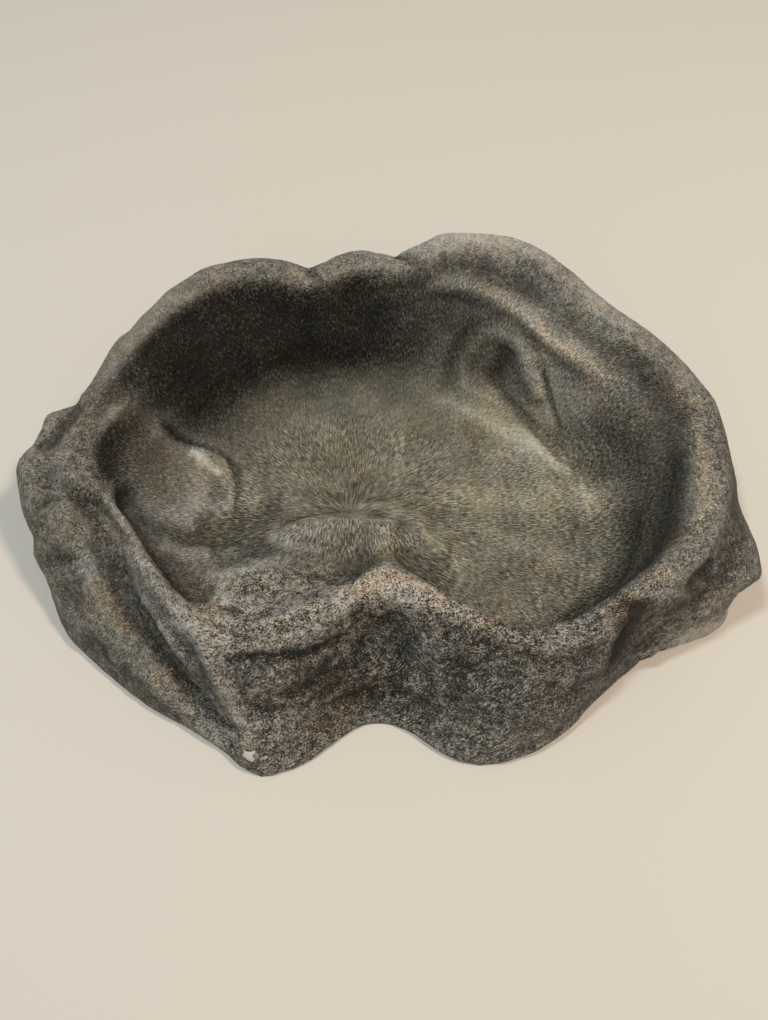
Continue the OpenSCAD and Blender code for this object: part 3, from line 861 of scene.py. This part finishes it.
def stone_material():
    """The coat's paint: brushed in the basin, hairy and speckled outside it."""
    g = Nodes("stone_coat_paint")
    place = millimetres(g)
    tone, rust, cool, beige, floor, fibre, wear_and_highlight, pit = (
        g.attribute(name)
        for name in ("tone", "rust", "cool", "beige", "floor", "fibre", "wear_and_highlight", "pit"))
    strokes = fibres(g, place)
    grain = g.noise(place, 1.5, 4.0, 0.7, 0.6)
    coarse = g.noise(place, 0.38, 3.0, 0.6)
    blotch = g.noise(place, 0.075, 3.0, 0.55)
    patch = g.noise(g.node("VectorMath", {0: place, 1: (31, 7, 3)}, operation="ADD").outputs[0],
                    0.05, 2.0, 0.5)
    specks = g.remap(grain, 0.52, 0.74, kind="LINEAR")
    pits = g.remap(grain, 0.48, 0.30, kind="LINEAR")
    clumps = g.remap(coarse, 0.34, 0.66)
    marks = g.remap(strokes, 0.34, 0.68, kind="LINEAR")
    hairs = g.remap(strands(g, place), 0.28, 0.72, kind="LINEAR")

    open_stone = g.math("SUBTRACT", 1.0, fibre)
    value = g.add(tone, g.times(g.math("SUBTRACT", blotch, 0.5), 0.34))
    bold = g.attribute("bold")
    brushed = g.times(fibre, g.remap(bold, 0.60, 0.92, 0.38, 0.66, "LINEAR"))
    value = g.add(value, g.times(g.math("SUBTRACT", marks, 0.48), brushed))
    value = g.add(value, g.times(g.times(g.math("SUBTRACT", hairs, 0.5), bold),
                                 g.add(g.times(open_stone, 0.95), 0.30)))
    rocky = g.add(g.times(specks, 0.62), g.times(pits, -0.62),
                  g.times(g.math("SUBTRACT", clumps, 0.5), 0.26))
    coarse_paint = g.attribute("rocky")
    value = g.add(value, g.times(g.times(rocky, bold),
                                 g.add(g.times(open_stone, 0.85), 0.36,
                                       g.times(coarse_paint, 0.60))))
    # rounded edges lighter as worn paint and painted highlight, hollows darker as painted shade,
    # rust strokes darker
    value = g.add(value, g.times(wear_and_highlight, 0.04), g.times(pit, -0.05), g.times(rust, -0.07))

    colour = g.ramp(g.times(value, RAMP_SHARE), STONE_RAMP)
    warm = g.remap(patch, 0.40, 0.62)
    colour = g.mix(g.times(warm, 0.5), colour, WARM_TINT, "MULTIPLY")
    colour = g.mix(g.times(floor, 0.8), colour, FLOOR_TINT, "MULTIPLY")
    colour = g.mix(g.times(cool, g.remap(coarse, 0.3, 0.7, 0.4, 1.0)), colour,
                   COOL_TINT, "MULTIPLY")
    colour = g.mix(g.times(rust, g.remap(blotch, 0.3, 0.6, 0.7, 1.0)), colour,
                   RUST_TINT, "MULTIPLY")
    # chalky beige: partly the paint's own, partly a painted warm highlight on ridges and crests
    chalk_and_highlight = g.times(beige, g.remap(grain, 0.42, 0.62))
    colour = g.mix(chalk_and_highlight, colour, CHALK_AND_HIGHLIGHT_TINT, "MULTIPLY")
    # each speck is a little warmer or cooler than the next, and so is each patch
    for scale, cold, hot in ((0.8, (0.97, 1.0, 1.01), (1.04, 0.99, 0.94)),
                             (0.10, (0.98, 1.0, 1.02), (1.04, 0.99, 0.94))):
        hue = g.noise(place, scale, 2.0)
        tint = g.ramp(hue, [(0.36, cold), (0.5, (1.0, 1.0, 1.0)), (0.64, hot)])
        colour = g.mix(1.0, colour, tint, "MULTIPLY")
    colour = g.mix(g.remap(g.attribute("fleck"), 0.3, 0.6), colour, FLECK_PAINT)
    g.put(g.shader.inputs["Base Color"], colour)

    gloss = g.add(g.remap(grain, 0.3, 0.7, 0.66, 0.46, "LINEAR"), g.times(pit, 0.12))
    g.put(g.shader.inputs["Roughness"], gloss)
    g.put(g.shader.inputs["Specular IOR Level"], g.remap(g.attribute("dim"), 0, 0.8, 0.34, 0.08))

    height = g.add(g.times(g.times(marks, fibre), 0.6), g.times(g.times(hairs, open_stone), 0.8),
                   g.times(g.add(specks, g.times(pits, -0.8), g.times(clumps, 1.2)),
                           g.add(g.times(open_stone, 0.85), 0.15)))
    bump = g.node("Bump", {"Strength": 0.8, "Distance": 0.00042, "Height": height})
    g.put(g.shader.inputs["Normal"], bump.outputs[0])
    return g.material


def casting_material():
    g = Nodes("pale_cast_resin")
    place = millimetres(g)
    grain = g.noise(place, 1.4, 4.0, 0.65)
    cloud = g.noise(place, 0.06, 3.0, 0.55)
    colour = g.ramp(g.add(g.times(grain, 0.5), g.times(cloud, 0.5)),
                    [(0.3, (0.50, 0.46, 0.40)), (0.5, (0.66, 0.62, 0.55)),
                     (0.7, (0.74, 0.70, 0.64))])
    dark = g.remap(g.noise(place, 2.3, 1.0), 0.66, 0.72)
    colour = g.mix(g.times(dark, 0.4), colour, (0.22, 0.20, 0.17, 1))
    g.put(g.shader.inputs["Base Color"], colour)
    g.put(g.shader.inputs["Roughness"], g.remap(grain, 0.3, 0.7, 0.85, 0.6, "LINEAR"))
    bump = g.node("Bump", {"Strength": 0.6, "Distance": 0.0003, "Height": grain})
    g.put(g.shader.inputs["Normal"], bump.outputs[0])
    return g.material


def floor_material():
    g = Nodes("studio_floor")
    g.shader.inputs["Base Color"].default_value = (0.74, 0.685, 0.585, 1)
    g.shader.inputs["Roughness"].default_value = 0.6
    g.shader.inputs["Specular IOR Level"].default_value = 0.2
    return g.material


for obj, material in ((coat, stone_material()), (casting, casting_material())):
    obj.data.materials.clear()
    obj.data.materials.append(material)
    obj.data.polygons.foreach_set("use_smooth", np.ones(len(obj.data.polygons), bool))
bpy.data.objects.remove(solid)

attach(coat, "root")
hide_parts("stone_coat")
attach(casting, "root")
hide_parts("cast_core")

# ---------------------------------------------------------------- floor, lights and camera

REACH = 3.0
sheet = bpy.data.meshes.new("studio_floor")
sheet.from_pydata([(-REACH, -REACH, LOW[2]), (REACH, -REACH, LOW[2]), (REACH, REACH, LOW[2]),
                   (-REACH, REACH, LOW[2])], [], [(0, 1, 2, 3)])
ground = new_object("studio_floor", sheet)
sheet.materials.append(floor_material())


def lamp(name, place, colour, watts, width):
    light = bpy.data.lights.new(name, "AREA")
    light.shape = "DISK"
    light.energy, light.color, light.size = watts, colour, width
    obj = new_object(name, light)
    obj.location = place
    obj.rotation_euler = (-Vector(place)).to_track_quat("-Z", "Y").to_euler()


lamp("lamp_right", (0.618, -0.042, 1.1), (1.0, 0.84, 0.72), 6.7, 0.145)
lamp("lamp_left", (-0.42, -0.042, 1.1), (0.76, 0.89, 1.0), 5.2, 0.145)

world = bpy.data.worlds.new("studio")
bpy.context.scene.world = world
world.use_nodes = True
sky = world.node_tree.nodes["Background"]
sky.inputs["Color"].default_value = (1.0, 0.95, 0.89, 1)
sky.inputs["Strength"].default_value = 0.33
bpy.context.scene.view_settings.view_transform = "Standard"

lens = bpy.data.cameras.new("camera")
lens.lens = 27.04
camera = new_object("camera", lens)
camera.location = spot(*CAMERA_PLACE)
camera.rotation_euler = (math.radians(CAMERA_TILT), 0, 0)
bpy.context.scene.camera = camera
